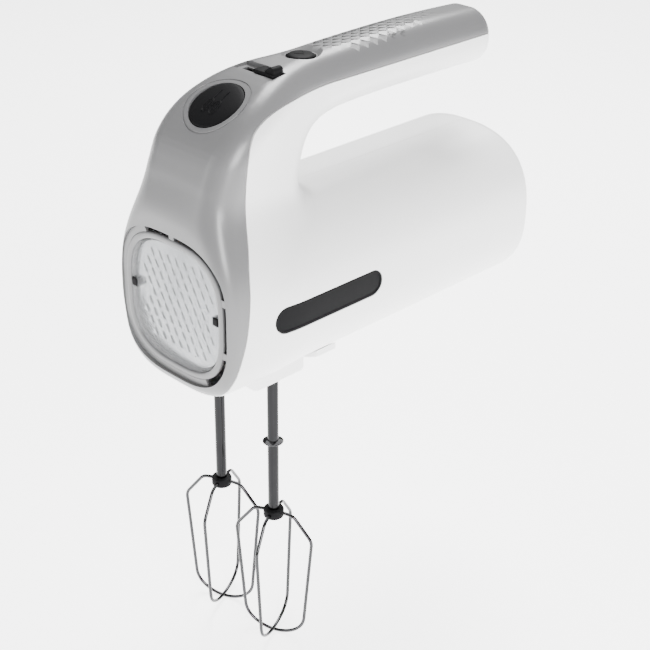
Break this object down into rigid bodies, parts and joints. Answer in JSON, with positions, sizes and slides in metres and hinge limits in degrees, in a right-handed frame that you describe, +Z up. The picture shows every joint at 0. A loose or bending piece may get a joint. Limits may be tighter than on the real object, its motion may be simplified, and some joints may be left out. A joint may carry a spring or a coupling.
{
  "type": "hand mixer",
  "caption": "Electric hand mixer with a looped top handle, front window, eject, speed and turbo controls, and a pair of pull-out wire beaters.",
  "frame": {"origin": "below the middle of the mixer, level with the lowest point of the beaters", "axes": "+Z up along the beaters, towards the handle; -Y towards the front window; +X to the side that carries the beater with the flange"},
  "size_m": [0.0846, 0.199, 0.2917],
  "materials": {
    "white_shell": "white moulded plastic, satin gloss",
    "grey_fascia": "mid grey moulded plastic, satin",
    "charcoal_trim": "charcoal moulded plastic, fine satin grain",
    "clear_lens": "clear plastic window, faceted pattern on its back",
    "silver_plate": "brushed silver plate",
    "chrome_wire": "polished chrome steel",
    "steel": "ground steel",
    "lamination": "stacked electrical steel sheet",
    "copper": "enamelled copper wire",
    "brass": "plain brass",
    "carbon": "pressed carbon",
    "nylon_gear": "natural nylon",
    "frame_plastic": "glass filled plastic",
    "board_green": "circuit board"
  },
  "bodies": {
    "housing": {"base_pad": "white_shell", "case_screw_1": "steel", "case_screw_2": "steel", "case_screw_3": "steel", "case_screw_4": "steel", "control_board": "board_green", "cord_bush": "charcoal_trim", "eject_spring": "steel", "front_bearing": "brass", "front_fascia": "grey_fascia", "gearbox_frame": "frame_plastic", "left_badge": "charcoal_trim", "left_brush": "carbon", "left_brush_holder": "brass", "left_motor_screw": "steel", "left_shell": "white_shell", "left_window_clip": "charcoal_trim", "lower_field_coil": "copper", "rear_bearing": "brass", "rear_bracket": "frame_plastic", "right_badge": "charcoal_trim", "right_brush": "carbon", "right_brush_holder": "brass", "right_motor_screw": "steel", "right_shell": "white_shell", "right_window_clip": "charcoal_trim", "socket_block": "white_shell", "speed_switch": "frame_plastic", "stator_core": "lamination", "turbo_spring": "steel", "turbo_switch": "frame_plastic", "upper_field_coil": "copper", "window_backing": "silver_plate", "window_bezel": "grey_fascia", "window_lens": "clear_lens"},
    "rotor": {"motor_shaft": "steel", "drive_worm": "steel", "armature_core": "lamination", "front_winding": "copper", "rear_winding": "copper", "commutator": "copper", "cooling_fan": "nylon_gear"},
    "left_spindle_body": {"left_gear": "nylon_gear", "left_spindle": "steel"},
    "right_spindle_body": {"right_gear": "nylon_gear", "right_spindle": "steel"},
    "left_beater": {"left_beater_shaft": "chrome_wire", "left_beater_hub": "charcoal_trim", "left_wire_loop_low": "chrome_wire", "left_wire_loop_high": "chrome_wire"},
    "right_beater": {"right_beater_shaft": "chrome_wire", "right_beater_hub": "charcoal_trim", "right_wire_loop_low": "chrome_wire", "right_wire_loop_high": "chrome_wire", "right_beater_flange": "chrome_wire"},
    "eject_cap": {"eject_button": "charcoal_trim"},
    "ejector": {"ejector_carrier": "frame_plastic"},
    "turbo_cap": {"turbo_button": "charcoal_trim"},
    "speed_knob": {"speed_slider": "charcoal_trim"}
  },
  "joints": [
    {"name": "rotor_spin", "type": "hinge", "parent": "housing", "child": "rotor", "pos_m": [0, -0.057, 0.192], "axis": [0, 1, 0], "continuous": true},
    {"name": "left_spindle_spin", "type": "hinge", "parent": "housing", "child": "left_spindle_body", "pos_m": [-0.019, -0.057, 0.192], "axis": [0, 0, 1], "continuous": true},
    {"name": "right_spindle_spin", "type": "hinge", "parent": "housing", "child": "right_spindle_body", "pos_m": [0.019, -0.057, 0.192], "axis": [0, 0, 1], "continuous": true},
    {"name": "left_beater_pull", "type": "slide", "parent": "left_spindle_body", "child": "left_beater", "axis": [0, 0, -1], "range_m": [0, 0.055]},
    {"name": "right_beater_pull", "type": "slide", "parent": "right_spindle_body", "child": "right_beater", "axis": [0, 0, -1], "range_m": [0, 0.055]},
    {"name": "eject_press", "type": "slide", "parent": "housing", "child": "eject_cap", "axis": [0, 0.5, -0.866], "range_m": [0, 0.005], "stiffness_N_per_m": 400, "springref_m": -0.002},
    {"name": "ejector_travel", "type": "slide", "parent": "housing", "child": "ejector", "axis": [0, 0, -1], "range_m": [0, 0.00434], "deforming": ["eject_spring"]},
    {"name": "turbo_press", "type": "slide", "parent": "housing", "child": "turbo_cap", "axis": [0, 0, -1], "range_m": [0, 0.0025], "stiffness_N_per_m": 400, "springref_m": -0.001, "deforming": ["turbo_spring"]},
    {"name": "speed_slide", "type": "slide", "parent": "housing", "child": "speed_knob", "axis": [-1, 0, 0], "range_m": [0, 0.0112]}
  ],
  "couplings": [
    {"joint": "left_spindle_spin", "follows": "rotor_spin", "ratio": 0.066667},
    {"joint": "right_spindle_spin", "follows": "rotor_spin", "ratio": -0.066667},
    {"joint": "ejector_travel", "follows": "eject_press", "ratio": 0.86603}
  ]
}
